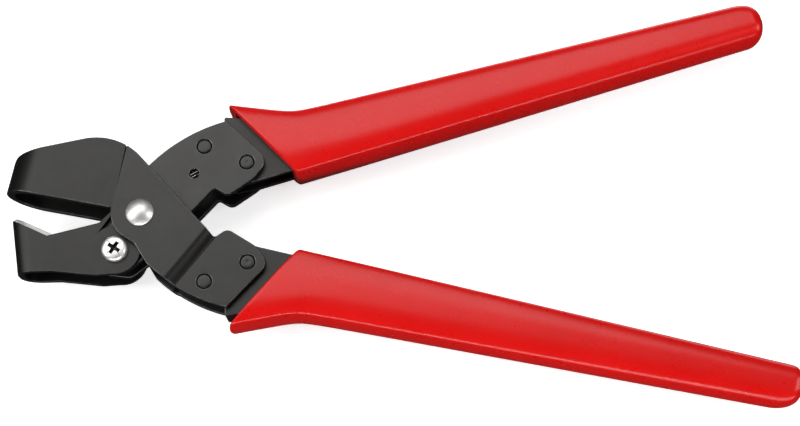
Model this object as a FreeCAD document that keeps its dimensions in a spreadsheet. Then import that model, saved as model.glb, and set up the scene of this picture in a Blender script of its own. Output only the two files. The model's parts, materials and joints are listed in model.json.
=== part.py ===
"""Two-lever notching pliers for plastic profiles, as a parametric FreeCAD document.

Frame: millimetres. Z is the pivot axis, +X runs between the handles, which are mirror
images about the XZ plane. The origin is the middle of the pivot rivet's flat back face,
on which the pliers lie. Every body's own XY plane is the pliers' mid-plane.
"""

import FreeCAD, Part
import math
import os

import Sketcher

V = FreeCAD.Vector
doc = FreeCAD.newDocument("NotchingPliers")

# Driving dimensions: alias, millimetres (or degrees), meaning.
SIZES = [
    ("stock", 700.0, "rough stock that outlines are cut from"),
    ("mid_height", 12.0, "mid-plane above the pivot rivet's back face"),
    ("side_half", 10.2, "mid-plane to the outer face of die and side plates"),
    ("side_sheet", 2.5, "thickness of die and side plates"),
    ("knife_half", 7.5, "mid-plane to the knife's outer face"),
    ("knife_sheet", 2.0, "thickness of the knife"),
    ("lever_sheet", 2.5, "thickness of the knife lever plates"),
    ("core_half", 5.0, "mid-plane to the outer face of a handle core"),
    ("core_sheet", 2.0, "thickness of a handle core"),
    ("die_tilt", 12.7, "angle of the die's cutting edge to -X"),
    ("die_reach", 44.3, "pivot to the die's nose"),
    ("die_front_height", 11.0, "height of the die at its nose"),
    ("die_corner_round", 4.0, "upper front corner of the die"),
    ("seam_slit", 0.45, "width of the open top of the die's rear seam"),
    ("boss_radius", 8.9, "radius of the side plates around the pivot"),
    ("boss_end", 235.0, "direction in which the side plates leave their boss"),
    ("knife_tilt", 7.4, "angle of the knife's nose to Y"),
    ("knife_reach", 40.3, "pivot to the knife's nose"),
    ("knife_fold", 6.0, "outer radius of the folds beside the knife's flat nose"),
    ("ear_radius", 7.6, "radius of the knife around pivot and screw"),
    ("bevel", 1.3, "ground bevel on the front flank of the knife's notch"),
    ("side_step", 2.7, "inward step of the side plates"),
    ("side_step_angle", -39.4, "direction in which the side plates step"),
    ("side_step_start", 20.3, "pivot to the side plates' step"),
    ("side_step_run", 1.9, "length of the side plates' step"),
    ("lever_step", 2.0, "outward step of the lever plates"),
    ("lever_step_angle", 40.7, "direction in which the lever plates step"),
    ("lever_step_start", 8.9, "pivot to the lever plates' step"),
    ("lever_step_run", 1.5, "length of the lever plates' step"),
    ("bend_radius", 1.0, "inside radius of the plates' bends"),
    ("shank_radius", 3.0, "pivot rivet shank"),
    ("dome_radius", 4.2, "pivot rivet dome"),
    ("dome_height", 2.2, "pivot rivet dome"),
    ("dome_rim", 0.5, "straight rim under the pivot rivet's dome"),
    ("tail_radius", 4.1, "pivot rivet back head"),
    ("tail_height", 1.8, "pivot rivet back head"),
    ("tail_chamfer", 0.6, "pivot rivet back head"),
    ("bush_radius", 4.3, "outside of the pivot bush"),
    ("bush_play", 0.05, "radial clearance of the bush on the shank"),
    ("screw_x", -7.8, "knife screw"),
    ("screw_y", -10.7, "knife screw"),
    ("screw_radius", 2.0, "knife screw thread"),
    ("screw_play", 0.05, "radial clearance of the knife screw"),
    ("head_radius", 4.0, "knife screw head"),
    ("head_height", 2.4, "knife screw head"),
    ("head_round", 1.3, "rounding of the knife screw's head"),
    ("recess_width", 1.1, "arm of the cross recess"),
    ("recess_length", 4.4, "tip to tip of the cross recess"),
    ("recess_depth", 1.5, "depth of the cross recess"),
    ("recess_turn", 57.0, "direction of the cross recess"),
    ("nut_radius", 3.8, "knife nut"),
    ("nut_height", 2.2, "knife nut"),
    ("tube_radius", 4.0, "spacer tube at the knife screw"),
    ("inner_rivet_x", 19.3, "inner rivet of a handle"),
    ("inner_rivet_y", 21.6, "inner rivet of a handle"),
    ("outer_rivet_x", 32.5, "outer rivet of a handle"),
    ("outer_rivet_y", 16.0, "outer rivet of a handle"),
    ("rivet_radius", 2.35, "flush rivet"),
    ("rivet_chamfer", 0.2, "edge of a flush rivet"),
    ("spacer_radius", 4.15, "spacer tubes round the handle rivets"),
    ("coil_radius", 5.35, "spring coil, to the wire's middle"),
    ("wire_radius", 0.65, "spring wire"),
    ("coil_pitch", 1.35, "rise of one spring turn"),
    ("coil_turns", 4.0, "turns of the spring coil, less the arc that its legs leave open"),
    ("leg_length", 30.0, "straight leg of the spring"),
    ("leg_angle", 27.4, "angle of each spring leg to +X"),
    ("sight_x", 16.2, "sight hole over the spring leg"),
    ("sight_y", 12.8, "sight hole over the spring leg"),
    ("sight_radius", 1.5, "sight hole over the spring leg"),
    ("grip_half", 8.8, "mid-plane to a grip's face"),
    ("grip_end_half", 7.5, "mid-plane to a grip's face at its end"),
    ("grip_round", 2.6, "rounding of a grip's edges"),
]

sheet = doc.addObject("Spreadsheet::Sheet", "Sizes")
for row, (alias, value, meaning) in enumerate(SIZES, 1):
    sheet.set(f"A{row}", meaning)
    sheet.set(f"B{row}", str(value))
    sheet.setAlias(f"B{row}", alias)
doc.recompute()
SIZE = {alias: value for alias, value, _ in SIZES}

WIDE = 400.0  # half a frame that a pocket removes: wider than the stock's half
CLOSE = 0.01  # distance within which a point counts as on a line or a face
PAST_NOSE = 1.0  # how far cuts run on beyond a jaw's nose

# Outlines are lists of corners (x, y, fillet radius) in the pliers' XY plane. A corner
# with a fourth entry is reached by an arc through that point.

# Both handles' plates, seen on the +Y side: back edge, rear end, stop hump and notch.
HANDLE_PLATE = [
    (26.0, 29.8, 0, (13.1, 24.5)),
    (39.2, 16.6, 4.0),
    (34.8, 10.9, 6.0),
    (26.4, 5.3, 2.6),
    (22.3, 7.9, 1.0),
]
PLATE_SHOULDER = (2.2, 16.1)  # where a handle plate's back edge starts

CORE = [
    (25.2, 32.0, 0.6),
    (45.0, 30.2, 15.0),
    (187.0, 62.0, 3.0),
    (189.5, 53.1, 3.0),
    (34.0, 10.2, 3.0),
    (28.0, 8.8, 2.0),
    (22.0, 15.5, 3.0),
    (15.2, 17.4, 1.5),
    (14.4, 21.4, 1.5),
    (25.2, 27.2, 0.8),
]
CORE_HOLLOW = [
    (10.0, 28.5, 0),
    (26.0, 28.5, 0),
    (27.6, 29.5, 0),
    (45.3, 28.1, 15.0),
    (190.5, 60.7, 0),
    (200.0, 53.0, 0),
    (34.0, 2.0, 0),
    (10.0, 2.0, 0),
]

GRIP = [
    (26.0, 36.0, 0),
    (45.5, 32.7, 26.0),
    (197.3, 66.4, 8.0),
    (200.2, 53.8, 4.0),
    (48.4, 11.8, 0),
]
GRIP_TAPER_START = 60.0


def polar(radius, degrees, centre=(0.0, 0.0)):
    angle = math.radians(degrees)
    return (centre[0] + radius * math.cos(angle), centre[1] + radius * math.sin(angle))


def turn(point, degrees):
    c, s = math.cos(math.radians(degrees)), math.sin(math.radians(degrees))
    return (point[0] * c - point[1] * s, point[0] * s + point[1] * c)


def changed(corners, change):
    """The same outline with a function applied to every point."""
    out = []
    for x, y, radius, *via in corners:
        out.append((*change((x, y)), radius, *[change(p) for p in via]))
    return out


def turned(corners, degrees):
    return changed(corners, lambda p: turn(p, degrees))


def on_side(corners, side):
    """A +Y handle outline, or its mirror image for the -Y handle."""
    return changed(corners, lambda p: (p[0], side * p[1]))


def fillet(before, corner, after, radius):
    """Start, middle and end of the arc that rounds a corner."""
    here = V(*corner, 0)
    to_before = (V(*before, 0) - here).normalize()
    to_after = (V(*after, 0) - here).normalize()
    half = to_before.getAngle(to_after) / 2
    bisector = (to_before + to_after).normalize()
    reach = radius / math.tan(half)
    middle = here + bisector * (radius / math.sin(half) - radius)
    return here + to_before * reach, middle, here + to_after * reach


def draw(sketch, corners):
    """Draw a closed outline of lines, arcs and fillets."""
    count = len(corners)
    rounded = []
    for i, (x, y, radius, *_) in enumerate(corners):
        before, after = corners[i - 1][:2], corners[(i + 1) % count][:2]
        if radius:
            rounded.append(fillet(before, (x, y), after, radius))
        else:
            rounded.append((V(x, y, 0), None, V(x, y, 0)))
    for i in range(count):
        start, end = rounded[i - 1][2], rounded[i][0]
        via = corners[i][3:]
        if via:
            sketch.addGeometry(Part.Arc(start, V(*via[0], 0), end))
        elif not start.isEqual(end, CLOSE):
            sketch.addGeometry(Part.LineSegment(start, end))
        if rounded[i][1]:
            sketch.addGeometry(Part.Arc(*rounded[i]))


def draw_frame(sketch):
    draw(sketch, [(-WIDE, -WIDE, 0), (WIDE, -WIDE, 0), (WIDE, WIDE, 0), (-WIDE, WIDE, 0)])


def new_body(name, angle=0.0):
    """A body whose XY plane is the pliers' mid-plane, turned about the pivot axis."""
    body = doc.addObject("PartDesign::Body", name)
    body.Label = name
    body.AllowCompound = True
    body.Placement = FreeCAD.Placement(V(0, 0, 0), FreeCAD.Rotation(V(0, 0, 1), angle))
    body.setExpression("Placement.Base.z", "Sizes.mid_height")
    return body


def new_sketch(body, name, plane="XY_Plane", **offset):
    """A sketch on one of the body's origin planes, moved by bound offsets."""
    sketch = body.newObject("Sketcher::SketchObject", f"{body.Name}_{name}")
    planes = [f for f in body.Origin.OriginFeatures if f.Role == plane]
    sketch.AttachmentSupport = (planes[0], [""])
    sketch.MapMode = "FlatFace"
    for axis, expression in offset.items():
        sketch.setExpression(f"AttachmentOffset.Base.{axis}", expression)
    return sketch


def add_circle(sketch, radius, x=None, y=None):
    """A circle whose radius, and place if given, are bound to the sheet."""
    at_x = sheet_value(x) if x else 0.0
    at_y = sheet_value(y) if y else 0.0
    circle = Part.Circle(V(at_x, at_y, 0), V(0, 0, 1), sheet_value(radius))
    index = sketch.addGeometry(circle)
    number = sketch.addConstraint(Sketcher.Constraint("Radius", index, sheet_value(radius)))
    sketch.setExpression(f"Constraints[{number}]", radius)
    for kind, expression, value in (("DistanceX", x, at_x), ("DistanceY", y, at_y)):
        number = sketch.addConstraint(Sketcher.Constraint(kind, -1, 1, index, 3, value))
        if expression:
            sketch.setExpression(f"Constraints[{number}]", expression)


def sheet_value(expression):
    """The number that a sum of sheet cells stands for."""
    total = 0.0
    for term in expression.split(" + "):
        value = SIZE[term.lstrip("-").replace("Sizes.", "")]
        total += -value if term.startswith("-") else value
    return total


def pad(body, sketch, length, midplane=True):
    feature = body.newObject("PartDesign::Pad", f"{sketch.Name}_pad")
    feature.Profile = sketch
    feature.Midplane = midplane
    feature.setExpression("Length", length)
    sketch.Visibility = False
    doc.recompute()


def pocket(body, sketch, length=None, midplane=True):
    """Cut a sketch to a bound length, or right through, and make sure that it cuts."""
    before = body.Tip.Shape.Volume
    feature = body.newObject("PartDesign::Pocket", f"{sketch.Name}_pocket")
    feature.Profile = sketch
    feature.Midplane = midplane
    if length:
        feature.setExpression("Length", length)
    else:
        feature.Type = "ThroughAll"
    sketch.Visibility = False
    doc.recompute()
    if not feature.Shape.Volume < before:
        raise RuntimeError(f"{sketch.Name} cuts nothing")


def trim(body, corners, name="outline"):
    """Keep only what lies inside an outline."""
    sketch = new_sketch(body, name)
    draw_frame(sketch)
    draw(sketch, corners)
    pocket(body, sketch)


def drill(body, name, *holes):
    """Round holes along Z: (radius, x, y) as sheet expressions, in pliers axes."""
    angle = math.degrees(body.Placement.Rotation.Angle) * body.Placement.Rotation.Axis.z
    sketch = new_sketch(body, name)
    sketch.AttachmentOffset = FreeCAD.Placement(V(0, 0, 0), FreeCAD.Rotation(V(0, 0, 1), -angle))
    for radius, *place in holes:
        add_circle(sketch, radius, *place)
    pocket(body, sketch)


def revolve(body, corners, name="profile"):
    """A turned piece: corners are (radius, height) on the body's XZ plane."""
    sketch = new_sketch(body, name, "XZ_Plane")
    draw(sketch, corners)
    feature = body.newObject("PartDesign::Revolution", f"{sketch.Name}_turned")
    feature.Profile = sketch
    feature.ReferenceAxis = (sketch, ["V_Axis"])
    feature.Angle = 360.0
    doc.recompute()


def soften(body, kind, measure, size, test):
    """A fillet or chamfer on the edges of the body so far that pass a test."""
    base = body.Tip
    edges = [f"Edge{i}" for i, edge in enumerate(base.Shape.Edges, 1) if test(edge)]
    feature = body.newObject(f"PartDesign::{kind}", f"{body.Name}_{kind.lower()}")
    feature.Base = (base, edges)
    feature.setExpression(measure, size)
    body.Tip = feature
    doc.recompute()


def rivet_places(side):
    """The two rivets of one handle, as sheet expressions."""
    sign = "" if side > 0 else "-"
    return [(f"Sizes.{which}_rivet_x", f"{sign}Sizes.{which}_rivet_y") for which in ("inner", "outer")]


# ---------------------------------------------------------------- folded jaws

JAW_FRAME = -SIZE["die_tilt"]
DIE_CREST = (-7.2, 26.5)  # where the die's top edge would meet the side plate's front edge
DIE_CREST_ROUND = 18.7
SIDE_NOTCH = (22.3, -7.9)  # where the side plate's front edge meets the stop hump


def folded_jaw(name, angle, half, thickness, reach, rear, fold, outline):
    """A strip folded into a U with an outer radius of fold, then trimmed to its side outline."""
    body = new_body(name, angle)
    inner, inner_reach, inner_fold = half - thickness, reach - thickness, fold - thickness
    sketch = new_sketch(body, "fold", "XZ_Plane")
    draw(sketch, [
        (-rear, half, 0),
        (-reach, half, fold),
        (-reach, -half, fold),
        (-rear, -half, 0),
        (-rear, -inner, 0),
        (-inner_reach, -inner, inner_fold),
        (-inner_reach, inner, inner_fold),
        (-rear, inner, 0),
    ])
    pad(body, sketch, "Sizes.stock")
    trim(body, outline)
    return body


def die_jaw():
    """The die: the knife drops between its walls. Its rear edge butts on the side plates."""
    reach, height, seam = SIZE["die_reach"], SIZE["die_front_height"], -SIZE["boss_radius"]
    crest = turn(DIE_CREST, -JAW_FRAME)
    past_crest = turn(SIDE_NOTCH, -JAW_FRAME)
    slope = (crest[1] - height) / (crest[0] + reach)
    outline = [
        (-reach - PAST_NOSE, 0, 0),
        (-reach - PAST_NOSE, height - slope * PAST_NOSE, 0),
        (*crest, DIE_CREST_ROUND),
        (*past_crest, 0),
        (past_crest[0], 0, 0),
    ]
    half = SIZE["side_half"]  # the nose is a full round, so this is its radius too
    body = folded_jaw("die_jaw", JAW_FRAME, half, SIZE["side_sheet"], reach, -seam, half, outline)
    corner = new_sketch(body, "front_corner")
    draw(corner, front_corner_waste(reach, height, crest, SIZE["die_corner_round"]))
    pocket(body, corner)
    slit = new_sketch(body, "slit")
    foot, top = height / 2, 2 * height
    draw(slit, [(seam, foot, 0), (seam, top, 0), (seam - SIZE["seam_slit"], top, 0)])
    pocket(body, slit)
    return body


def front_corner_waste(reach, height, crest, radius):
    """What rounding the die's upper front corner takes away."""
    start, middle, end = fillet((-reach, 0), (-reach, height), crest, radius)
    return [
        (start.x, start.y, 0),
        (end.x, end.y, 0, (middle.x, middle.y)),
        (end.x - radius, end.y + radius, 0),
        (-reach - radius, start.y, 0),
    ]


FLANK_START = (-44.0, 3.55)  # the notch's front flank, carried on in front of the nose
FLANK_END = (-26.7, -5.1)  # bottom of the notch
EAR_START, EAR_END = 135.0, -96.0  # directions in which the ear leaves the pivot and the screw


def knife():
    """The knife: a smaller U with a notched upper edge, an ear round the pivot bush."""
    ear = SIZE["ear_radius"]
    screw = (SIZE["screw_x"], SIZE["screw_y"])
    across = math.degrees(math.atan2(-screw[0], screw[1]))  # from pivot and screw to the tangent
    start, end = polar(ear, across), polar(ear, across, screw)
    outline = [
        (*FLANK_START, 0),
        (*FLANK_END, 0),
        (-12.7, -2.0, 3.0),
        (*polar(ear, EAR_START), 0),
        (*start, 0, polar(ear, (EAR_START + across) / 2)),
        (*end, 0),
        (*polar(ear, EAR_END, screw), 0, polar(ear, (across + EAR_END) / 2, screw)),
        (-14.0, -18.5, 8.0),
        (-27.0, -16.7, 15.0),
        (-44.0, -16.6, 0),
    ]
    angle = SIZE["knife_tilt"]
    body = folded_jaw(
        "knife", angle, SIZE["knife_half"], SIZE["knife_sheet"], SIZE["knife_reach"],
        -2 * ear, SIZE["knife_fold"], turned(outline, -angle),
    )
    flank_start, flank_end = turn(FLANK_START, -angle), turn(FLANK_END, -angle)
    soften(body, "Chamfer", "Size", "Sizes.bevel", lambda e: on_flank(e, flank_start, flank_end))
    drill(body, "bores", ("Sizes.bush_radius",),
          ("Sizes.screw_radius + Sizes.screw_play", "Sizes.screw_x", "Sizes.screw_y"))
    return body


def on_flank(edge, flank_start, flank_end):
    """True for an edge on the knife's outside that follows the notch's front flank."""
    straight = V(flank_end[0] - flank_start[0], flank_end[1] - flank_start[1], 0).normalize()
    radius = SIZE["knife_fold"]
    fold_x, fold_z = radius - SIZE["knife_reach"], SIZE["knife_half"] - radius
    for share in (0.2, 0.5, 0.8):
        span = edge.LastParameter - edge.FirstParameter
        point = edge.valueAt(edge.FirstParameter + share * span)
        off_line = straight.cross(V(point.x - flank_start[0], point.y - flank_start[1], 0)).z
        from_fold = math.hypot(max(fold_x - point.x, 0), max(abs(point.z) - fold_z, 0))
        if abs(off_line) > CLOSE or abs(from_fold - radius) > CLOSE:
            return False
    return True


# ---------------------------------------------------------------- plates

def joggled_plate(name, front, step, low, high, thickness, outline):
    """A flat plate that steps from one height above the mid-plane to another.

    step names the sheet cells for the step's direction, its start and its run.
    front is 1 for the plate on the +Z side and -1 for the one behind.
    """
    angle, bend, run = (SIZE[f"{step}_{key}"] for key in ("angle", "start", "run"))
    body = new_body(name, angle)
    steepness = math.atan2(high - low, run)
    shift = thickness * math.tan(steepness / 2)  # keeps the thickness across the step
    inner = bend + shift
    hollow, crown = SIZE["bend_radius"], SIZE["bend_radius"] + thickness
    first, second = (hollow, crown) if high > low else (crown, hollow)
    section = [
        (-WIDE, low + thickness, 0),
        (bend, low + thickness, first),
        (bend + run, high + thickness, second),
        (WIDE, high + thickness, 0),
        (WIDE, high, 0),
        (inner + run, high, first),
        (inner, low, second),
        (-WIDE, low, 0),
    ]
    sketch = new_sketch(body, "section", "XZ_Plane")
    draw(sketch, [(x, front * z, r) for x, z, r in section])
    pad(body, sketch, "Sizes.stock")
    trim(body, turned(outline, -angle))
    return body


def side_plate(name, front):
    """Side plate: carries the pivot, butts on the die and is riveted to the lower core."""
    boss = SIZE["boss_radius"]
    seam_foot = polar(boss, 180 - SIZE["die_tilt"])
    boss_leaves = polar(boss, SIZE["boss_end"])
    top_start = turn((-SIZE["die_reach"], SIZE["die_front_height"]), JAW_FRAME)
    arc_start, _, arc_end = fillet(top_start, DIE_CREST, SIDE_NOTCH, DIE_CREST_ROUND)
    centre = arc_centre(arc_end, SIDE_NOTCH, DIE_CREST_ROUND)
    seam_top = seam_meets_arc(centre, DIE_CREST_ROUND)
    halfway = [(seam_top[0] + arc_end.x) / 2 - centre[0], (seam_top[1] + arc_end.y) / 2 - centre[1]]
    scale = DIE_CREST_ROUND / math.hypot(*halfway)
    middle = (centre[0] + scale * halfway[0], centre[1] + scale * halfway[1])
    outline = [
        (*seam_top, 0, middle),
        (*seam_foot, 0),
        (*boss_leaves, 0, polar(boss, (180 - SIZE["die_tilt"] + SIZE["boss_end"]) / 2)),
        (-1.6, -9.6, 2.5),
        (PLATE_SHOULDER[0], -PLATE_SHOULDER[1], 0),
        *on_side(HANDLE_PLATE[:-1], -1),
        (*SIDE_NOTCH, 1.0),
        (arc_end.x, arc_end.y, 0),
    ]
    low = SIZE["side_half"] - SIZE["side_sheet"]
    high = low - SIZE["side_step"]
    body = joggled_plate(name, front, "side_step", low, high, SIZE["side_sheet"], outline)
    holes = [("Sizes.rivet_radius", x, y) for x, y in rivet_places(-1)]
    drill(body, "bores", ("Sizes.shank_radius",), *holes)
    return body


def arc_centre(tangent_point, toward, radius):
    """Centre of an arc that leaves tangent_point along the line to another point."""
    along = (V(*toward, 0) - tangent_point).normalize()
    centre = tangent_point + V(along.y, -along.x, 0) * radius
    return (centre.x, centre.y)


def seam_meets_arc(centre, radius):
    """Top of the seam, which stands on the die's cutting edge, beside the boss."""
    in_jaw = turn(centre, -JAW_FRAME)
    x = -SIZE["boss_radius"]
    y = in_jaw[1] + math.sqrt(radius**2 - (x - in_jaw[0]) ** 2)
    return turn((x, y), JAW_FRAME)


def lever_plate(name, front):
    """Lever plate: from inside the knife, past the pivot bush, to the upper core."""
    outline = [
        (*PLATE_SHOULDER, 0),
        *HANDLE_PLATE,
        (6.5, -8.6, 5.0),
        (-4.5, -17.2, 4.0),
        (-13.5, -15.8, 4.0),
        (-15.5, -7.5, 3.0),
        (-7.4, 4.6, 5.0),
    ]
    low = SIZE["knife_half"] - SIZE["knife_sheet"] - SIZE["lever_sheet"]
    high = low + SIZE["lever_step"]
    body = joggled_plate(name, front, "lever_step", low, high, SIZE["lever_sheet"], outline)
    holes = [("Sizes.rivet_radius", x, y) for x, y in rivet_places(1)]
    drill(
        body, "bores", ("Sizes.bush_radius",),
        ("Sizes.screw_radius + Sizes.screw_play", "Sizes.screw_x", "Sizes.screw_y"),
        ("Sizes.sight_radius", "Sizes.sight_x", "Sizes.sight_y"), *holes,
    )
    return body


# ---------------------------------------------------------------- handles

def handle_core(name, side):
    """Channel of folded sheet, open towards the other handle, with two riveted tongues."""
    body = new_body(name)
    sketch = new_sketch(body, "outline")
    draw(sketch, on_side(CORE, side))
    pad(body, sketch, "2 * Sizes.core_half")
    hollow = new_sketch(body, "hollow")
    draw(hollow, on_side(CORE_HOLLOW, side))
    pocket(body, hollow, "2 * (Sizes.core_half - Sizes.core_sheet)")
    places = [("Sizes.rivet_radius", x, y) for x, y in rivet_places(side)]
    drill(body, "bores", *places)
    return body


def grip(name, side):
    """Plastic grip: a rounded sleeve with a closed end and an oblique mouth."""
    body = new_body(name)
    half, end_half = SIZE["grip_half"], SIZE["grip_end_half"]
    (start, *_), (end, *_) = GRIP[0], GRIP[3]
    sketch = new_sketch(body, "sides", "XZ_Plane")
    draw(sketch, [
        (start, half, 0),
        (GRIP_TAPER_START, half, 0),
        (end, end_half, 0),
        (end, -end_half, 0),
        (GRIP_TAPER_START, -half, 0),
        (start, -half, 0),
    ])
    pad(body, sketch, "Sizes.stock")
    trim(body, on_side(GRIP, side))
    soften(body, "Fillet", "Radius", "Sizes.grip_round", grip_rim)
    mouth = new_sketch(body, "socket")
    draw(mouth, on_side(CORE, side))
    pocket(body, mouth, "2 * Sizes.core_half")
    return body


def grip_rim(edge):
    """True for the edges round a grip's broad faces that its rounding follows."""
    start, end = (edge.Vertexes[i].Point for i in (0, -1))
    (x1, y1, _), (x2, y2, _) = GRIP[0], GRIP[-1]
    upright = start.z * end.z < 0
    mouth = abs(edge.Length - math.hypot(x2 - x1, y2 - y1)) < CLOSE
    taper_start = abs(end.x - start.x) < CLOSE
    return not (upright or mouth or taper_start)


def rivets(name, side):
    """A handle's two flush rivets, with a broken edge that shows as a ring."""
    body = new_body(name)
    sketch = new_sketch(body, "shanks")
    for x, y in rivet_places(side):
        add_circle(sketch, "Sizes.rivet_radius", x, y)
    pad(body, sketch, "2 * Sizes.knife_half")
    soften(body, "Chamfer", "Size", "Sizes.rivet_chamfer", is_round)
    return body


def is_round(edge):
    return edge.Curve.TypeId == "Part::GeomCircle"


def rivet_spacers(name, side):
    """Tubes round the rivets that keep the core's walls apart; the inner one seats the spring."""
    body = new_body(name)
    sketch = new_sketch(body, "tubes")
    for x, y in rivet_places(side):
        add_circle(sketch, "Sizes.spacer_radius", x, y)
        add_circle(sketch, "Sizes.rivet_radius", x, y)
    pad(body, sketch, "2 * (Sizes.core_half - Sizes.core_sheet)")
    return body


# ---------------------------------------------------------------- pivot, screw, spring

def pivot_rivet():
    """Pivot rivet: domed head in front, flat head behind."""
    body = new_body("pivot_rivet")
    side, shank = SIZE["side_half"], SIZE["shank_radius"]
    dome, rise = SIZE["dome_radius"], SIZE["dome_height"]
    tail, drop, cut = SIZE["tail_radius"], SIZE["tail_height"], SIZE["tail_chamfer"]
    rim = SIZE["dome_rim"]
    ball = (dome**2 + (rise - rim) ** 2) / (2 * (rise - rim))
    half_way = dome / 2
    sag = side + rise - ball + math.sqrt(ball**2 - half_way**2)
    revolve(body, [
        (0, -side - drop, 0),
        (tail - cut, -side - drop, 0),
        (tail, -side - drop + cut, 0),
        (tail, -side, 0),
        (shank, -side, 0),
        (shank, side, 0),
        (dome, side, 0),
        (dome, side + rim, 0),
        (0, side + rise, 0, (half_way, sag)),
    ])
    return body


def tube(name, outer, inner, length, x=None, y=None):
    body = new_body(name)
    sketch = new_sketch(body, "ring")
    add_circle(sketch, outer, x, y)
    add_circle(sketch, inner, x, y)
    pad(body, sketch, length)
    return body


def knife_screw():
    """Pan-head screw with a cross recess, through knife, levers and spacer into its nut."""
    body = new_body("knife_screw")
    body.setExpression("Placement.Base.x", "Sizes.screw_x")
    body.setExpression("Placement.Base.y", "Sizes.screw_y")
    knife_face, shank = SIZE["knife_half"], SIZE["screw_radius"]
    head, high = SIZE["head_radius"], SIZE["head_height"]
    revolve(body, [
        (0, -knife_face - SIZE["nut_height"], 0),
        (shank, -knife_face - SIZE["nut_height"], 0),
        (shank, knife_face, 0),
        (head, knife_face, 0),
        (head, knife_face + high, SIZE["head_round"]),
        (0, knife_face + high, 0),
    ])
    arm, reach = SIZE["recess_width"] / 2, SIZE["recess_length"] / 2
    sketch = new_sketch(body, "recess", z="Sizes.knife_half + Sizes.head_height")
    quarter = [(reach, -arm), (reach, arm), (arm, arm)]
    draw(sketch, [(*turn(p, 90 * i + SIZE["recess_turn"]), 0) for i in range(4) for p in quarter])
    pocket(body, sketch, "Sizes.recess_depth", midplane=False)
    return body


def knife_nut():
    body = new_body("knife_nut")
    sketch = new_sketch(body, "ring", z="-Sizes.knife_half - Sizes.nut_height")
    add_circle(sketch, "Sizes.nut_radius", "Sizes.screw_x", "Sizes.screw_y")
    add_circle(sketch, "Sizes.screw_radius", "Sizes.screw_x", "Sizes.screw_y")
    pad(body, sketch, "Sizes.nut_height", midplane=False)
    return body


def opening_spring():
    """Torsion spring round the bush: one leg bears on each handle's inner spacer tube."""
    angle = SIZE["leg_angle"]
    sweep_angle = 360 * SIZE["coil_turns"] - 2 * (90 + angle)
    rise = SIZE["coil_pitch"] * sweep_angle / 360
    coil = Part.makeHelix(SIZE["coil_pitch"], rise, SIZE["coil_radius"], 0, True)
    coil.Placement = FreeCAD.Placement(
        V(0, 0, -rise / 2), FreeCAD.Rotation(V(0, 0, 1), -90 - angle)
    )
    (low, high), (low_tip, high_tip) = [
        [
            V(*polar(SIZE["coil_radius"], side * (90 + angle)), side * rise / 2)
            + V(*polar(length, side * angle), 0)
            for side in (-1, 1)
        ]
        for length in (0, SIZE["leg_length"])
    ]
    path = doc.addObject("Part::Feature", "opening_spring_path")
    path.Shape = Part.Wire([Part.makeLine(low_tip, low), *coil.Edges, Part.makeLine(high, high_tip)])
    wire = doc.addObject("Part::Circle", "opening_spring_wire")
    wire.setExpression("Radius", "Sizes.wire_radius")
    wire.Placement = FreeCAD.Placement(low_tip, FreeCAD.Rotation(V(0, 0, 1), low - low_tip))
    sweep = doc.addObject("Part::Sweep", "opening_spring")
    sweep.Sections = [wire]
    sweep.Spine = (path, [f"Edge{i + 1}" for i in range(len(path.Shape.Edges))])
    sweep.Solid = True
    sweep.Frenet = True
    sweep.Transition = "Transformed"
    sweep.setExpression("Placement.Base.z", "Sizes.mid_height")
    doc.recompute()
    return sweep


PARTS = [
    die_jaw(),
    side_plate("front_side_plate", 1),
    side_plate("back_side_plate", -1),
    knife(),
    lever_plate("front_lever_plate", 1),
    lever_plate("back_lever_plate", -1),
    pivot_rivet(),
    tube("pivot_bush", "Sizes.bush_radius", "Sizes.shank_radius + Sizes.bush_play",
         "2 * Sizes.knife_half"),
    tube("knife_spacer", "Sizes.tube_radius", "Sizes.screw_radius + Sizes.screw_play",
         "2 * (Sizes.core_half - Sizes.core_sheet)", "Sizes.screw_x", "Sizes.screw_y"),
    knife_screw(),
    knife_nut(),
    opening_spring(),
]
for handle, side in (("upper", 1), ("lower", -1)):
    PARTS += [
        handle_core(f"{handle}_handle_core", side),
        grip(f"{handle}_grip", side),
        rivets(f"{handle}_rivets", side),
        rivet_spacers(f"{handle}_rivet_spacers", side),
    ]

doc.recompute()
for item in doc.Objects:
    if {"Invalid", "Error"} & set(item.State):
        raise RuntimeError(f"{item.Name} failed: {item.State}")
os.makedirs("parts", exist_ok=True)
for item in PARTS:
    shape = item.Shape
    if shape.isNull() or not shape.isValid():
        raise RuntimeError(f"{item.Label} is not a valid solid")
    print(f"{item.Label}: {len(shape.Solids)} solid(s), {shape.Volume:.1f} mm3, {shape.BoundBox}")
    shape.exportStep(f"parts/{item.Label}.step")
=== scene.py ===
"""Looks of the notching pliers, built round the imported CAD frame. Metres, same frame as the CAD."""

import json
import math

import bmesh
import bpy
from mathutils import Euler, Matrix, Vector


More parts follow.
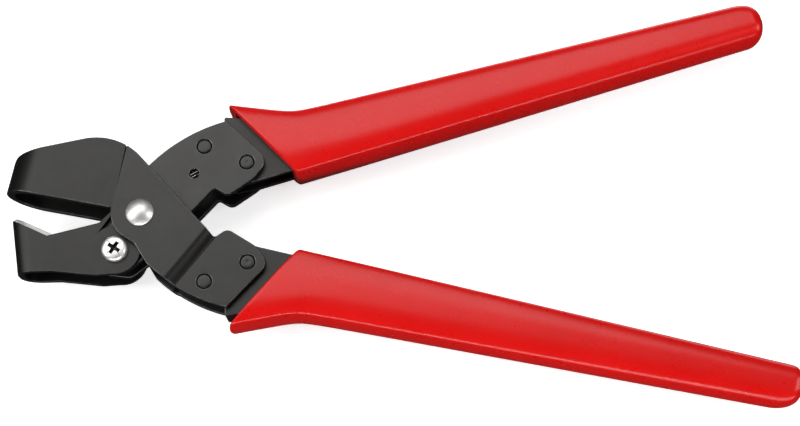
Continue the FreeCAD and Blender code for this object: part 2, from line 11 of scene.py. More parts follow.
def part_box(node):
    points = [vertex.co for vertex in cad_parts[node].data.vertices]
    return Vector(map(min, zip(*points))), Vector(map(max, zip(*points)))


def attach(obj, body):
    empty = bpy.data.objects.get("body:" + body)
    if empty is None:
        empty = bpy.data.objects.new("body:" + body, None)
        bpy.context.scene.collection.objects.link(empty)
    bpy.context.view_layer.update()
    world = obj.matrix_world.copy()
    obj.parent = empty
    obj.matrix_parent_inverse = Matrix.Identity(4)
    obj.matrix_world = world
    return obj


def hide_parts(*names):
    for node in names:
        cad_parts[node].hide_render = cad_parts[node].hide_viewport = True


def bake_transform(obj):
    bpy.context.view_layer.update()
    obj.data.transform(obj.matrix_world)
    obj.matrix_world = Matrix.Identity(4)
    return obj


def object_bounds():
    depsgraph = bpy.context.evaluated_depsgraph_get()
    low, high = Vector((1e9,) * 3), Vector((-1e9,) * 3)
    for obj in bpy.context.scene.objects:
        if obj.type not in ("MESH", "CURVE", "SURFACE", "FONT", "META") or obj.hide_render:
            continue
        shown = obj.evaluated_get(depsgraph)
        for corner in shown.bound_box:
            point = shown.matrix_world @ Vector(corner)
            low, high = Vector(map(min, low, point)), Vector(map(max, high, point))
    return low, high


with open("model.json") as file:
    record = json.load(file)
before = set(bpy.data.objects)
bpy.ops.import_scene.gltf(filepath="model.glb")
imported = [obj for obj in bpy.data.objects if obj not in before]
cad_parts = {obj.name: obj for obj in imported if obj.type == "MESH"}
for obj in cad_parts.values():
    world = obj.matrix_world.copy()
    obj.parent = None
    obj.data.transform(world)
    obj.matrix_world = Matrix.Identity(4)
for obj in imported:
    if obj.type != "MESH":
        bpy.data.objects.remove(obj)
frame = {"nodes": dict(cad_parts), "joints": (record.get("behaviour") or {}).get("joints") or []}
cad_low, cad_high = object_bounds()

MM = 0.001  # lengths are in millimetres where nothing says metres
PIVOT = Vector(frame["joints"][0]["pos_m"])
MID = PIVOT.z  # height of the plane that halves the pliers' thickness
DIE, KNIFE = "die_side", "knife_side"


# ---------------------------------------------------------------- materials

class Surface:
    """A Principled material with short calls for its texture nodes."""

    def __init__(self, name, color, metallic=0.0, roughness=0.5, **sockets):
        self.material = bpy.data.materials.new(name)
        self.material.use_nodes = True
        self.nodes = self.material.node_tree.nodes
        self.links = self.material.node_tree.links
        self.shader = self.nodes["Principled BSDF"]
        self.set("Base Color", (*color, 1.0))
        self.set("Metallic", metallic)
        self.set("Roughness", roughness)
        for socket, value in sockets.items():
            self.set(socket.replace("_", " "), value)
        self.place = self.nodes.new("ShaderNodeTexCoord").outputs["Object"]
        self.bump_before = None

    def set(self, socket, value):
        self.shader.inputs[socket].default_value = value

    def stretched(self, scale, turn=(0, 0, 0)):
        """Object coordinates, turned and then scaled per axis."""
        node = self.nodes.new("ShaderNodeMapping")
        node.inputs["Rotation"].default_value = turn
        node.inputs["Scale"].default_value = scale
        self.links.new(self.place, node.inputs["Vector"])
        return node.outputs["Vector"]

    def noise(self, size, detail=3.0, vector=None):
        """Noise whose blotches are about this many millimetres across."""
        node = self.nodes.new("ShaderNodeTexNoise")
        node.inputs["Scale"].default_value = 1.0 / (size * MM)
        node.inputs["Detail"].default_value = detail
        self.links.new(vector or self.place, node.inputs["Vector"])
        return node.outputs["Fac"]

    def ramp(self, factor, low, high):
        """Colour ramp between two (position, colour) stops; a single number is a grey."""
        node = self.nodes.new("ShaderNodeValToRGB")
        for element, (position, color) in zip(node.color_ramp.elements, (low, high)):
            element.position = position
            element.color = (*color, 1.0) if isinstance(color, tuple) else (color, color, color, 1.0)
        self.links.new(factor, node.inputs["Fac"])
        return node.outputs["Color"]

    def to(self, socket, output):
        self.links.new(output, self.shader.inputs[socket])

    def bump(self, height, depth, strength=1.0):
        """Bump of this depth in millimetres, on top of any set before."""
        node = self.nodes.new("ShaderNodeBump")
        node.inputs["Distance"].default_value = depth * MM
        node.inputs["Strength"].default_value = strength
        self.links.new(height, node.inputs["Height"])
        if self.bump_before:
            self.links.new(self.bump_before, node.inputs["Normal"])
        self.bump_before = node.outputs["Normal"]
        self.to("Normal", self.bump_before)


def black_steel(name, tone=1.0):
    """Phosphated black sheet: a dull dark metal with a fine grain and faint cloudiness."""
    dark, light = 0.046 * tone, 0.052 * tone
    steel = Surface(name, (dark, dark, dark), metallic=1.0, roughness=0.4)
    steel.to("Base Color", steel.ramp(
        steel.noise(9.0, detail=4.0),
        (0.3, (dark, dark * 0.985, dark * 0.955)),
        (0.75, (light, light * 0.985, light * 0.96)),
    ))
    steel.to("Roughness", steel.ramp(steel.noise(1.6), (0.2, 0.36), (0.8, 0.42)))
    steel.bump(steel.noise(0.35, detail=2.0), depth=0.01, strength=0.45)
    return steel.material


def worn_edge_and_highlight():
    """Rubbed edges of the black sheet, where its steel begins to show, made lighter also as a painted
    highlight along every rounded edge.
    """
    edge = Surface("worn_edge_and_highlight", (0.12, 0.12, 0.115), metallic=1.0, roughness=0.38)
    rubbed_and_lit = edge.noise(2.5, detail=4.0)
    edge.to("Base Color", edge.ramp(rubbed_and_lit, (0.35, 0.07), (0.7, 0.14)))
    edge.bump(edge.noise(0.3), depth=0.01, strength=0.4)
    return edge.material


def ground_steel():
    """The knife's ground bevel, with fine grinding lines across the edge."""
    steel = Surface("ground_steel", (0.6, 0.59, 0.58), metallic=0.7, roughness=0.48)
    lines = steel.noise(0.25, detail=2.0, vector=steel.stretched((1.0, 0.12, 0.12), (0, 0, 0.48)))
    steel.to("Base Color", steel.ramp(lines, (0.3, (0.5, 0.49, 0.48)), (0.7, (0.66, 0.65, 0.64))))
    steel.bump(lines, depth=0.01, strength=0.5)
    return steel.material


def bright_steel():
    """Satin zinc plating of the rivet and screw heads, with faint pitting."""
    steel = Surface("bright_steel", (0.86, 0.85, 0.83), metallic=0.95, roughness=0.44)
    steel.to("Roughness", steel.ramp(steel.noise(0.8), (0.25, 0.4), (0.75, 0.48)))
    steel.bump(steel.noise(1.2, detail=2.0), depth=0.015, strength=0.35)
    return steel.material


def recess_shade():
    """The floor and walls of the screw's recess, painted dark as the shade inside it, unevenly."""
    steel = Surface("recess_shade", (0.05, 0.05, 0.05), metallic=0.8, roughness=0.5)
    steel.to("Base Color", steel.ramp(steel.noise(0.5), (0.3, 0.02), (0.8, 0.12)))
    steel.bump(steel.noise(0.4), depth=0.02, strength=0.4)
    return steel.material


def plain_steel():
    """Turned steel of the bush and the spacers."""
    steel = Surface("plain_steel", (0.55, 0.54, 0.52), metallic=1.0, roughness=0.32)
    marks = steel.noise(0.3, detail=2.0, vector=steel.stretched((0.1, 0.1, 1.0)))
    steel.to("Base Color", steel.ramp(marks, (0.3, (0.42, 0.41, 0.39)), (0.75, (0.66, 0.65, 0.63))))
    steel.bump(marks, depth=0.01, strength=0.4)
    return steel.material


def wire_steel():
    """Drawn spring wire, bright, with fine lines."""
    steel = Surface("wire_steel", (0.5, 0.49, 0.47), metallic=1.0, roughness=0.26)
    lines = steel.noise(0.4, detail=2.0, vector=steel.stretched((0.15, 1.0, 1.0)))
    steel.to("Base Color", steel.ramp(lines, (0.3, (0.46, 0.45, 0.43)), (0.7, (0.54, 0.53, 0.51))))
    steel.bump(lines, depth=0.003, strength=0.25)
    return steel.material


def red_plastic():
    """Red plastic of the grips: smooth, with a faint orange peel."""
    plastic = Surface("red_plastic", (0.7, 0.005, 0.004), roughness=0.28, Specular_IOR_Level=0.42)
    plastic.set("Subsurface Weight", 0.06)
    plastic.set("Subsurface Radius", (0.004, 0.0006, 0.0004))
    plastic.to("Base Color", plastic.ramp(
        plastic.noise(22.0), (0.3, (0.68, 0.004, 0.003)), (0.7, (0.72, 0.006, 0.005))
    ))
    plastic.to("Roughness", plastic.ramp(plastic.noise(6.0), (0.25, 0.26), (0.75, 0.3)))
    plastic.bump(plastic.noise(1.6, detail=2.0), depth=0.004, strength=0.35)
    return plastic.material


BLACK = black_steel("black_steel")
BLACK_JAW = black_steel("black_jaw_steel", tone=0.87)
BLACK_LEVER = black_steel("black_lever_steel", tone=1.15)
BLACK_CORE = black_steel("black_core_steel", tone=0.93)
BLACK_RIVET = black_steel("black_rivet_steel", tone=1.12)
# Rubbed edges, lighter also as a painted highlight on every rounded edge
EDGE_WEAR_AND_HIGHLIGHT = worn_edge_and_highlight()
GROUND = ground_steel()
BRIGHT = bright_steel()
# The screw's recess, painted dark as shade
RECESS_SHADE = recess_shade()
PLAIN = plain_steel()
WIRE = wire_steel()
RED = red_plastic()


# ---------------------------------------------------------------- building helpers

WELD = 0.0005  # points closer than this are one
FLAT_ANGLE = math.radians(0.5)  # faces that meet more flatly become one
SHEARED_ANGLE = math.radians(35)  # edges that turn more sharply are rounded
BEVEL_STEPS = 3


def linked(name, data):
    """A new object in the scene."""
    thing = bpy.data.objects.new(name, data)
    bpy.context.scene.collection.objects.link(thing)
    return thing


def add_piece(name, mesh, body, slot, *materials):
    """A mesh as a piece with these materials, riding on a body unless that is None."""
    piece = linked(name, mesh)
    for material in materials:
        mesh.materials.append(material)
    if body:
        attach(piece, body)
    return piece


def smooth_by_angle(mesh, degrees=40.0):
    mesh.shade_smooth()
    mesh.set_sharp_from_angle(angle=math.radians(degrees))


def to_mesh(bm, name):
    mesh = bpy.data.meshes.new(name)
    bm.to_mesh(mesh)
    bm.free()
    return mesh


def baked(piece):
    """Replace a piece's mesh by what its modifiers make of it."""
    graph = bpy.context.evaluated_depsgraph_get()
    mesh = bpy.data.meshes.new_from_object(piece.evaluated_get(graph))
    piece.modifiers.clear()
    piece.data = mesh
    return piece


def softened(node, body, slot, radius, material, sharp=None):
    """A CAD node's shape as a piece of its own whose sheared edges are rounded, rubbed and lighter as
    a painted highlight.

    sharp names the edges to leave alone: a function of an edge's middle point.
    """
    bm = bmesh.new()
    bm.from_mesh(frame["nodes"][node].data)
    bmesh.ops.remove_doubles(bm, verts=bm.verts, dist=WELD * MM)
    bmesh.ops.dissolve_limit(
        bm, angle_limit=FLAT_ANGLE, verts=bm.verts, edges=bm.edges, delimit=set()
    )
    edges = [
        e for e in bm.edges
        if e.is_manifold and e.calc_face_angle() > SHEARED_ANGLE
        and not (sharp and sharp((e.verts[0].co + e.verts[1].co) / 2))
    ]
    # The rounded faces take the second material: a rubbed edge, lighter also as a painted highlight.
    bmesh.ops.bevel(
        bm, geom=edges, offset=radius * MM, segments=BEVEL_STEPS, profile=0.5, affect="EDGES",
        clamp_overlap=False, material=1,
    )
    bmesh.ops.recalc_face_normals(bm, faces=bm.faces)
    mesh = to_mesh(bm, node)
    smooth_by_angle(mesh)
    piece = add_piece(f"{node}_shape", mesh, body, slot, material, EDGE_WEAR_AND_HIGHLIGHT)
    flatten = piece.modifiers.new("flat_faces", "WEIGHTED_NORMAL")
    flatten.weight = 100
    flatten.keep_sharp = True
    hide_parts(node)
    return baked(piece)


def turned(profile, steps=72):
    """A surface of revolution about Z, as a bmesh, from (radius, height) points in millimetres."""
    bm = bmesh.new()
    rings = []
    for radius, height in profile:
        if radius == 0:
            rings.append([bm.verts.new((0, 0, height * MM))])
            continue
        ring = []
        for i in range(steps):
            angle = 2 * math.pi * i / steps
            x, y = radius * math.cos(angle), radius * math.sin(angle)
            ring.append(bm.verts.new((x * MM, y * MM, height * MM)))
        rings.append(ring)
    for low, high in zip(rings, rings[1:]):
        for i in range(steps):
            j = (i + 1) % steps
            corners = [low[i % len(low)], low[j % len(low)], high[j % len(high)], high[i % len(high)]]
            bm.faces.new(list(dict.fromkeys(corners)))  # on the axis, two corners are one
    bmesh.ops.recalc_face_normals(bm, faces=bm.faces)
    return bm


def lofted(rings, name):
    """A closed mesh through rings of equally many points, capped at both ends."""
    bm = bmesh.new()
    loops = [[bm.verts.new(point) for point in ring] for ring in rings]
    for low, high in zip(loops, loops[1:]):
        for i in range(len(low)):
            j = (i + 1) % len(low)
            bm.faces.new((low[i], low[j], high[j], high[i]))
    bm.faces.new(loops[0])
    bm.faces.new(loops[-1])
    bmesh.ops.recalc_face_normals(bm, faces=bm.faces)
    return to_mesh(bm, name)


def arc_points(centre, radius, start, end, count):
    """Points of a circular arc, angles in degrees, ends included."""
    angles = [math.radians(start + (end - start) * i / (count - 1)) for i in range(count)]
    return [(centre[0] + radius * math.cos(a), centre[1] + radius * math.sin(a)) for a in angles]


def heights(node):
    """Lowest and highest point of a CAD node, from the middle plane in millimetres."""
    return [corner.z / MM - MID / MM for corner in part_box(node)]


def centred(values):
    return (min(values) + max(values)) / 2


# ---------------------------------------------------------------- grips

LIP = Vector((26.0, 36.0))  # outer end of the grip's oblique mouth
HEEL_X = 48.4  # inner end of the mouth
END_OUTER_X, END_INNER_X = 196.3, 199.2
GRIP_LENGTH = END_OUTER_X - LIP.x
LIP_SLOPE, WAIST_SOFTNESS = -0.165, 1.3  # the waist is where the lip's slope meets the back's
OUTER_AT_MIDDLE, OUTER_SLOPE = 49.22, 0.2256  # height at GRIP_MIDDLE, and rise per millimetre
INNER_AT_MIDDLE, INNER_SLOPE = 31.5, 0.2772
GRIP_MIDDLE = 120.0
HANDLE_RUN = Vector((0.97, 0.243))  # the way a handle runs from its mouth to its end
GRIP_HALF, GRIP_TAPER, GRIP_TAPER_START = 8.8, 1.3, 60.0  # half height, its loss, from this x on
SOCKET_HALF, SOCKET_DEPTH, OUTER_WALL, INNER_WALL = 5.1, 4.0, 3.2, 2.1
RIDGE_INSET, RIDGE_DROP = 1.0, 1.7  # of the ridge between side and face, from their middles
RIDGE_ROUND, FACE_POWER = 0.8, 3.2  # the ridge's softness, and how square the face is
# Roundings: how long before an end they start, and how far they draw the surface in.
MOUTH_ROUND = (0.9, 0.9)
OUTER_CORNER, INNER_CORNER, FACE_CORNER = (8.0, 4.6), (4.5, 3.4), (3.4, 3.4)
SIDE_STEPS, RIDGE_STEPS, FACE_STEPS = 8, 6, 16
MOUTH_STEPS, LENGTH_STEPS, END_STEPS = 6, 110, 20


def outer_y(x):
    """The grip's outer outline: a flared lip running smoothly into the long straight back."""
    lip = LIP.y + LIP_SLOPE * (x - LIP.x)
    back = OUTER_AT_MIDDLE + OUTER_SLOPE * (x - GRIP_MIDDLE)
    return (lip + back + math.hypot(lip - back, WAIST_SOFTNESS)) / 2


def inner_y(x):
    return INNER_AT_MIDDLE + INNER_SLOPE * (x - GRIP_MIDDLE)


def grip_section(half_width, half_height):
    """One quarter of a grip's section, from its side's middle to the middle of its face."""
    ridge = Vector((half_width - RIDGE_INSET, half_height - RIDGE_DROP))

    def side_point(z):
        return Vector((half_width - RIDGE_INSET * (z / ridge.y) ** 2, z))

    def face_point(x):
        return Vector((x, ridge.y + RIDGE_DROP * (1 - (x / ridge.x) ** FACE_POWER)))

    side_end, face_start = ridge.y - RIDGE_ROUND, ridge.x - RIDGE_ROUND
    side = [side_point(side_end * i / SIDE_STEPS) for i in range(SIDE_STEPS + 1)]
    face = [face_point(face_start * (1 - i / FACE_STEPS)) for i in range(FACE_STEPS + 1)]
    corner = []
    for i in range(1, RIDGE_STEPS):
        t = i / RIDGE_STEPS
        corner.append(side[-1] * (1 - t) ** 2 + ridge * 2 * t * (1 - t) + face[0] * t**2)
    return [tuple(point) for point in side + corner + face]


def rounding(distance, corner):
    """How far a surface has drawn in at this distance from an end with a rounded corner."""
    start, depth = corner
    share = max(1.0 - distance / start, 0.0)
    return depth * (1.0 - math.sqrt(max(1.0 - share**2, 0.0)))


def grip_ring(share):
    """Middle, rib direction, half width and half height of the grip at a share of its length."""
    x_out = LIP.x + share * GRIP_LENGTH
    x_in = HEEL_X + share * (END_INNER_X - HEEL_X)
    outer, inner = Vector((x_out, outer_y(x_out))), Vector((x_in, inner_y(x_in)))
    rib = (outer - inner).normalized()
    to_mouth, to_end = share * GRIP_LENGTH, (1 - share) * GRIP_LENGTH
    draw_in = rounding(to_mouth, MOUTH_ROUND)
    outer -= rib * (draw_in + rounding(to_end, OUTER_CORNER))
    inner += rib * (draw_in + rounding(to_end, INNER_CORNER))
    middle = (outer + inner) / 2
    taper = max(0.0, middle.x - GRIP_TAPER_START) / (END_OUTER_X - GRIP_TAPER_START)
    half_height = GRIP_HALF - GRIP_TAPER * taper - draw_in - rounding(to_end, FACE_CORNER)
    return middle, rib, (outer - inner).length / 2, half_height


def full_section(quarter):
    """The whole section from a quarter, counter-clockwise."""
    right = quarter
    left = [(-x, z) for x, z in reversed(quarter[:-1])]
    below = [(-x, -z) for x, z in quarter[1:]]
    back = [(x, -z) for x, z in reversed(quarter[1:-1])]
    return right + left + below + back


def grip_stations():
    """Distances of a grip's rings from its mouth, closest together in its two roundings."""
    quarter = math.pi / 2
    near, far = MOUTH_ROUND[0], OUTER_CORNER[0]
    between = GRIP_LENGTH - near - far
    stations = [near * (1 - math.cos(quarter * i / MOUTH_STEPS)) for i in range(MOUTH_STEPS)]
    stations += [near + between * i / LENGTH_STEPS for i in range(LENGTH_STEPS + 1)]
    for i in range(1, END_STEPS + 1):
        stations.append(GRIP_LENGTH - far * (1 - math.sin(quarter * i / END_STEPS)))
    return stations


def grip_mesh(side):
    """A hollow-mouthed grip; side is 1 for the +Y handle and -1 for its mirror image."""
    rings = []
    for distance in grip_stations():
        centre, rib, half_width, half_height = grip_ring(distance / GRIP_LENGTH)
        section = full_section(grip_section(half_width, half_height))
        rings.append([to_frame(centre + rib * x, z, side) for x, z in section])
    centre, rib, half_width, _ = grip_ring(0.0)
    socket = mouth_section(half_width)
    for depth in (0.0, SOCKET_DEPTH):
        inward = HANDLE_RUN * depth
        rings.insert(0, [to_frame(centre + rib * x + inward, z, side) for x, z in socket])
    return lofted(rings, "grip")


def mouth_section(half_width):
    """A rectangular ring where the core enters the grip, point for point with its section."""
    ring = []
    for x, z in full_section(grip_section(half_width, GRIP_HALF)):
        c, s = x / half_width, z / GRIP_HALF
        reach = max(abs(c), abs(s))
        wall = OUTER_WALL if c > 0 else INNER_WALL
        ring.append(((half_width - wall) * c / reach, SOCKET_HALF * s / reach))
    return ring


def to_frame(point, z, side):
    """A point of the +Y handle, in millimetres, as one of either handle in the frame."""
    return Vector((point.x * MM, side * point.y * MM, MID + z * MM))


def add_grip(node, side, body):
    mesh = grip_mesh(side)
    smooth_by_angle(mesh, 50.0)
    piece = add_piece(f"{node}_shape", mesh, body, "grip_plastic", RED)
    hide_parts(node)


# ---------------------------------------------------------------- rivets, screw, spring

# Profiles are (radius, height) points, and heights count from the pliers' middle plane.
BACK_HEAD = [(3.3, 0.0), (3.5, 0.05), (3.95, 0.45), (4.1, 0.65)]  # above its own lowest point
DOME_RADIUS, DOME_RISE, DOME_RIM = 4.2, 2.2, 0.45  # it rises from the plate, on a straight rim
PIVOT_SHANK, PLATE_FACE, DOME_UNDERCUT = 3.0, 10.2, 0.1
RIVET_FACE, RIVET_RADIUS, RIVET_INSET = 7.5, 2.35, 0.02
# A flush rivet's face, above RIVET_FACE: a plain or a marked middle, then the crown and its rim.
RIVET_PLAIN, RIVET_MARKED = [(0, 0.03)], [(0, -0.06), (0.2, -0.04), (0.45, 0.02)]
RIVET_CROWN = [(1.2, 0.02), (1.85, -0.01), (2.0, -0.06), (2.1, -0.25)]
RIVET_RIM_DROP = 0.6
HEAD_STEPS, RIVET_STEPS = 96, 64


def add_pivot_rivet():
    """Domed rivet: a low straight rim under the dome, and a flat back head."""
    low, high = heights("pivot_rivet")
    bulge = DOME_RISE - DOME_RIM
    ball = (DOME_RADIUS**2 + bulge**2) / (2 * bulge)
    edge = math.degrees(math.asin(DOME_RADIUS / ball))
    profile = [(0, low)] + [(r, low + z) for r, z in BACK_HEAD] + [(BACK_HEAD[-1][0], -PLATE_FACE)]
    profile += [(PIVOT_SHANK, -PLATE_FACE), (PIVOT_SHANK, PLATE_FACE)]
    profile += [(DOME_RADIUS - DOME_UNDERCUT, PLATE_FACE), (DOME_RADIUS, PLATE_FACE + DOME_UNDERCUT)]
    profile += arc_points((0, high - ball), ball, 90 - edge, 90, 16)[:-1] + [(0, high)]
    mesh = to_mesh(turned(profile, HEAD_STEPS), "pivot_rivet")
    mesh.transform(Matrix.Translation(PIVOT))
    smooth_by_angle(mesh)
    piece = add_piece("pivot_rivet_shape", mesh, DIE, "bright_steel", BRIGHT)
    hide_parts("pivot_rivet")


def rivet_centres(node):
    """Centres of a node's two rivets, from the box of each of its solids."""
    verts = [v.co for v in frame["nodes"][node].data.vertices]
    low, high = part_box(node)
    middle = (low.x + high.x) / 2
    pair = [v for v in verts if v.x < middle], [v for v in verts if v.x > middle]
    return [Vector((centred([v.x for v in one]), centred([v.y for v in one]), MID)) for one in pair]


def add_flush_rivets(node, body):
    """Flush rivets, faintly crowned with a rounded rim; the outer one has a faint centre mark."""
    joined = bmesh.new()
    for centre, middle in zip(rivet_centres(node), (RIVET_PLAIN, RIVET_MARKED)):
        head = middle + RIVET_CROWN + [(RIVET_RADIUS - RIVET_INSET, -RIVET_RIM_DROP)]
        face = [(r, RIVET_FACE + z) for r, z in head]
        profile = [(r, -z) for r, z in face] + face[::-1]
        solid = turned(profile, RIVET_STEPS)
        bmesh.ops.translate(solid, verts=solid.verts, vec=centre)
        part = to_mesh(solid, "rivet")
        joined.from_mesh(part)
        bpy.data.meshes.remove(part)
    mesh = to_mesh(joined, node)
    smooth_by_angle(mesh, 50.0)
    piece = add_piece(f"{node}_shape", mesh, body, "rivet_steel", BLACK_RIVET)
    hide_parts(node)


HEAD_RADIUS, HEAD_EDGE = 4.0, 1.4  # the edge is the rounding of the head's rim
HEAD_CROWN = 0.12  # from the top of that rounding's full circle to the head's top
HEAD_TOP = (1.6, 0.03)  # a point near the top: its radius, and how far it is down
SEAT, SEAT_CHAMFER = 7.5, 0.15
SHANK_RADIUS, SHANK_CHAMFER = 2.0, 0.3
CROSS_DEPTH, CROSS_REACH, CROSS_TURN = 1.7, 2.05, 57  # the turn is in degrees
CROSS_ARM, CROSS_CORNER = 0.5, 1.25  # half width, and the inner corners' place in half widths
# The recess's faces, painted dark as shade, lie inside this radius, between these depths below the
# head's top.
RECESS_RADIUS, RECESS_START, RECESS_END = 2.4, 0.1, 2.0


def cross_recess(top):
    """A tapered cross with a pointed floor, to be cut out of a screw head."""
    corner = CROSS_ARM * CROSS_CORNER
    levels = [(top + 0.5, 1.12), (top - 0.1, 1.0)]
    levels += [(top - CROSS_DEPTH * 0.7, 0.72), (top - CROSS_DEPTH, 0.3)]
    rings = []
    for z, scale in levels:
        ring = []
        for quarter in range(4):
            turn = Matrix.Rotation(math.radians(90 * quarter + CROSS_TURN), 3, "Z")
            for x, y in ((CROSS_REACH, -CROSS_ARM), (CROSS_REACH, CROSS_ARM), (corner, corner)):
                flat = turn @ Vector((x * scale * MM, y * scale * MM, 0))
                ring.append(flat + Vector((0, 0, z * MM)))
        rings.append(ring)
    return lofted(rings, "cross_recess")


def add_screw():
    """Pan-head screw with a cross recess; its shank runs through to the nut behind."""
    low, high = heights("knife_screw")
    start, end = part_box("knife_screw")
    place = (start + end) / 2
    edge_centre = (HEAD_RADIUS - HEAD_EDGE, high - HEAD_EDGE - HEAD_CROWN)
    profile = [(0, low), (SHANK_RADIUS - SHANK_CHAMFER, low), (SHANK_RADIUS, low + SHANK_CHAMFER)]
    profile += [(SHANK_RADIUS, SEAT), (HEAD_RADIUS - SEAT_CHAMFER, SEAT)]
    profile += [(HEAD_RADIUS, SEAT + SEAT_CHAMFER)]
    profile += arc_points(edge_centre, HEAD_EDGE, 0, 75, 9)
    profile += [(HEAD_TOP[0], high - HEAD_TOP[1]), (0, high)]
    piece = linked("knife_screw_shape", to_mesh(turned(profile, HEAD_STEPS), "knife_screw"))
    cutter = linked("recess_cutter", cross_recess(high))
    cut = piece.modifiers.new("recess", "BOOLEAN")
    cut.object = cutter
    cut.solver = "EXACT"
    baked(piece)
    bpy.data.objects.remove(cutter)
    piece.data.transform(Matrix.Translation(Vector((place.x, place.y, MID))))
    smooth_by_angle(piece.data, 35.0)
    piece.data.materials.clear()
    piece.data.materials.append(BRIGHT)
    piece.data.materials.append(RECESS_SHADE)
    # Faces down in the recess get the dark material: painted shade.
    for face in piece.data.polygons:
        offset = face.center - Vector((place.x, place.y, MID + high * MM))
        inside = math.hypot(offset.x, offset.y) < RECESS_RADIUS * MM
        if inside and -RECESS_END * MM < offset.z < -RECESS_START * MM:
            face.material_index = 1
    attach(piece, KNIFE)
    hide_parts("knife_screw")


COIL_RADIUS, WIRE_RADIUS, PITCH, COIL_TURNS = 5.35, 0.65, 1.35, 4
LEG_ANGLE, LEG_LENGTH = math.radians(27.4), 30.0
COIL_STEPS, LEG_STEPS = 200, 12


def spring_path():
    """The spring wire's middle line: lower leg, coil round the bush, upper leg."""
    start = -(math.pi / 2 + LEG_ANGLE)
    sweep = COIL_TURNS * 2 * math.pi + 2 * start
    rise = PITCH * sweep / (2 * math.pi)
    coil = []
    for i in range(COIL_STEPS + 1):
        angle = start - sweep * i / COIL_STEPS
        height = rise * (i / COIL_STEPS - 0.5)
        coil.append(Vector((COIL_RADIUS * math.cos(angle), COIL_RADIUS * math.sin(angle), height)))
    lower = Vector((math.cos(LEG_ANGLE), -math.sin(LEG_ANGLE), 0))
    upper = Vector((math.cos(LEG_ANGLE), math.sin(LEG_ANGLE), 0))
    runs = [LEG_LENGTH * i / LEG_STEPS for i in range(1, LEG_STEPS + 1)]
    return [coil[0] + lower * r for r in reversed(runs)] + coil + [coil[-1] + upper * r for r in runs]


def add_spring():
    """Torsion spring swept along its path."""
    curve = bpy.data.curves.new("opening_spring", "CURVE")
    curve.dimensions = "3D"
    curve.bevel_depth = WIRE_RADIUS * MM
    curve.bevel_resolution = 4
    curve.use_fill_caps = True
    path = spring_path()
    spline = curve.splines.new("POLY")
    spline.points.add(len(path) - 1)
    for point, place in zip(spline.points, path):
        point.co = (*(PIVOT + place * MM), 1.0)
    wire = linked("opening_spring_curve", curve)
    graph = bpy.context.evaluated_depsgraph_get()
    mesh = bpy.data.meshes.new_from_object(wire.evaluated_get(graph))
    bpy.data.objects.remove(wire)
    smooth_by_angle(mesh, 50.0)
    mesh.materials.clear()
    piece = add_piece("opening_spring_shape", mesh, None, "spring_steel", WIRE)
    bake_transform(piece)
    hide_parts("opening_spring")


# ---------------------------------------------------------------- sheet pieces

DIE_TILT = math.radians(12.7)  # of the die's cutting edge; the butt seam is square to it
SEAM_OFFSET, SEAM_MARGIN = -8.9, 0.25  # from the pivot, square to the seam
FLANK_POINT = Vector((-0.030, -0.00345, 0))  # metres, on the notch's front flank
FLANK_UP = Vector((0.5, 1.0, 0)).normalized()  # square to that flank
FLANK_DEPTH, FLANK_END_X = 1.7, -26.4  # how far the ground finish reaches down and back
FLANK_FACING = 0.2  # a ground face looks up from the flank by at least this cosine
EAR_X = -0.0145  # metres
SHEET_ROUND, CORE_ROUND, KNIFE_ROUND, TUBE_ROUND = 0.3, 0.35, 0.1, 0.15
GROUND_INDEX = 2  # after the knife's black steel and its rubbed edge, lighter also as a painted highlight


def on_seam(point):
    """True on the plane where the die's rear edge butts on the side plates."""
    along = point.x * math.cos(DIE_TILT) - point.y * math.sin(DIE_TILT)
    return abs(along / MM - SEAM_OFFSET) < SEAM_MARGIN


def on_ear(point):
    """True from where the knife's ear meets its rear flank, too narrowly for rounded edges."""
    return point.x > EAR_X


def grind_flank(knife):
    """Give the ground finish to the flank of the knife's notch and its bevel."""
    knife.data.materials.append(GROUND)
    for face in knife.data.polygons:
        level = (face.center - FLANK_POINT).dot(FLANK_UP) / MM
        in_front = level > -FLANK_DEPTH and face.center.x / MM < FLANK_END_X
        if in_front and face.normal.dot(FLANK_UP) > FLANK_FACING:
            face.material_index = GROUND_INDEX


def add_sheet_pieces():
    softened("die_jaw", DIE, "die_steel", SHEET_ROUND, BLACK_JAW, sharp=on_seam)
    for node in ("front_side_plate", "back_side_plate"):
        softened(node, DIE, "plate_steel", SHEET_ROUND, BLACK, sharp=on_seam)
    for node in ("front_lever_plate", "back_lever_plate"):
        softened(node, KNIFE, "plate_steel", SHEET_ROUND, BLACK_LEVER)
    grind_flank(softened("knife", KNIFE, "knife_steel", KNIFE_ROUND, BLACK_JAW, sharp=on_ear))
    softened("lower_handle_core", DIE, "core_steel", CORE_ROUND, BLACK_CORE)
    softened("upper_handle_core", KNIFE, "core_steel", CORE_ROUND, BLACK_CORE)


def add_turned_pieces():
    softened("lower_rivet_spacers", DIE, "spacer_steel", TUBE_ROUND, PLAIN)
    for node in ("upper_rivet_spacers", "pivot_bush", "knife_spacer"):
        softened(node, KNIFE, "spacer_steel", TUBE_ROUND, PLAIN)
    softened("knife_nut", KNIFE, "bright_steel", SHEET_ROUND, BRIGHT)


# ---------------------------------------------------------------- floor, light, camera

FLOOR_REACH, WALL_CURVE, WALL_TOP = 3000, 1500, 6000
FLOOR_GAP = 0.0003  # metres under the pliers
LIGHT_TARGET = Vector((0.08, 0.0, MID))  # metres


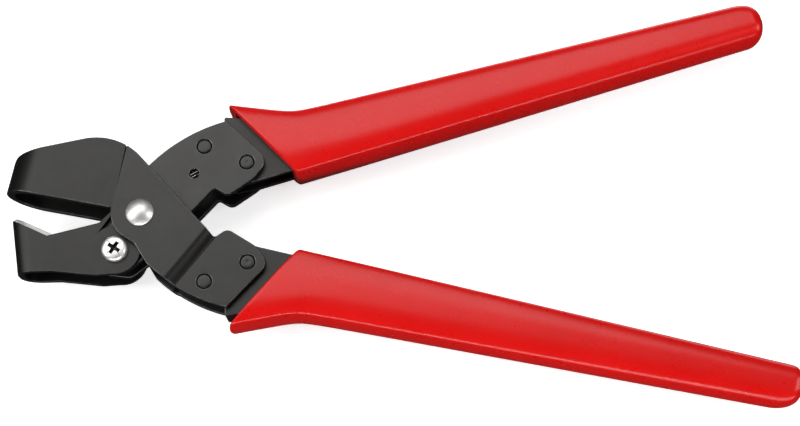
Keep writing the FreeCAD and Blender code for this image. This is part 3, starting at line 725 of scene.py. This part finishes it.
def add_stage():
    """A plain pale bowl of a floor: it catches a soft shadow but throws no light on the pliers."""
    profile = [(0, 0), (FLOOR_REACH, 0)]
    profile += arc_points((FLOOR_REACH, WALL_CURVE), WALL_CURVE, -80, 0, 9)
    profile += [(FLOOR_REACH + WALL_CURVE, WALL_TOP)]
    mesh = to_mesh(turned(profile), "floor")
    smooth_by_angle(mesh)
    floor = linked("floor", mesh)
    floor.location.z = cad_low.z - FLOOR_GAP
    paper = Surface("pale_floor", (0.93, 0.93, 0.93), roughness=0.9)
    paper.set("Emission Color", (1.0, 1.0, 1.0, 1.0))
    paper.set("Emission Strength", 0.65)
    paper.to("Roughness", paper.ramp(paper.noise(2.0), (0.3, 0.85), (0.7, 0.95)))
    mesh.materials.append(paper.material)
    floor.visible_diffuse = False
    floor.visible_glossy = False
    floor.visible_shadow = False


def add_area_light(name, place, size, power):
    light = bpy.data.lights.new(name, "AREA")
    light.shape = "RECTANGLE"
    light.size, light.size_y = size
    light.energy = power
    lamp = linked(name, light)
    lamp.location = place
    lamp.rotation_euler = (LIGHT_TARGET - Vector(place)).to_track_quat("-Z", "Y").to_euler()


def add_lights():
    """Soft white area lights, in metres and watts, and a faint white surround."""
    add_area_light("overhead_softbox", (-0.1, 0.5, 0.95), (1.35, 0.8), 7.4)
    add_area_light("left_bank", (-0.95, -0.1, 0.75), (0.5, 0.8), 7.0)
    add_area_light("right_bank", (1.1, -0.1, 0.75), (0.5, 0.8), 5.0)
    add_area_light("front_strip", (0.08, -1.0, 0.3), (1.5, 0.1), 4.0)
    add_area_light("front_fill", (0.08, -0.95, 0.1), (1.6, 0.35), 5.0)
    add_area_light("back_glow", (0.08, 0.9, -0.24), (1.6, 0.4), 5.0)
    world = bpy.data.worlds.new("studio")
    world.use_nodes = True
    background = world.node_tree.nodes["Background"]
    background.inputs["Color"].default_value = (1.0, 1.0, 1.0, 1.0)
    background.inputs["Strength"].default_value = 0.04
    bpy.context.scene.world = world


CAMERA_TARGET = Vector((0.07945, 0.0, MID))  # metres
CAMERA_DISTANCE = 0.455  # metres
CAMERA_TILT = math.radians(16.57)  # from straight above, towards -Y
CAMERA_TURN = math.radians(-2.04)
CAMERA_LENS, SENSOR_WIDTH = 65.57, 36.0
CLIP_START, CLIP_END = 0.01, 20.0  # metres


def add_camera():
    camera = linked("camera", bpy.data.cameras.new("camera"))
    camera.data.lens = CAMERA_LENS
    camera.data.sensor_width = SENSOR_WIDTH
    camera.data.clip_start, camera.data.clip_end = CLIP_START, CLIP_END
    camera.rotation_euler = Euler((CAMERA_TILT, 0.0, CAMERA_TURN))
    back = camera.rotation_euler.to_matrix() @ Vector((0, 0, CAMERA_DISTANCE))
    camera.location = CAMERA_TARGET + back
    bpy.context.scene.camera = camera


add_sheet_pieces()
add_turned_pieces()
add_grip("lower_grip", -1, DIE)
add_grip("upper_grip", 1, KNIFE)
add_pivot_rivet()
add_flush_rivets("lower_rivets", DIE)
add_flush_rivets("upper_rivets", KNIFE)
add_screw()
add_spring()
add_stage()
add_lights()
add_camera()
bpy.context.scene.view_settings.view_transform = "Standard"
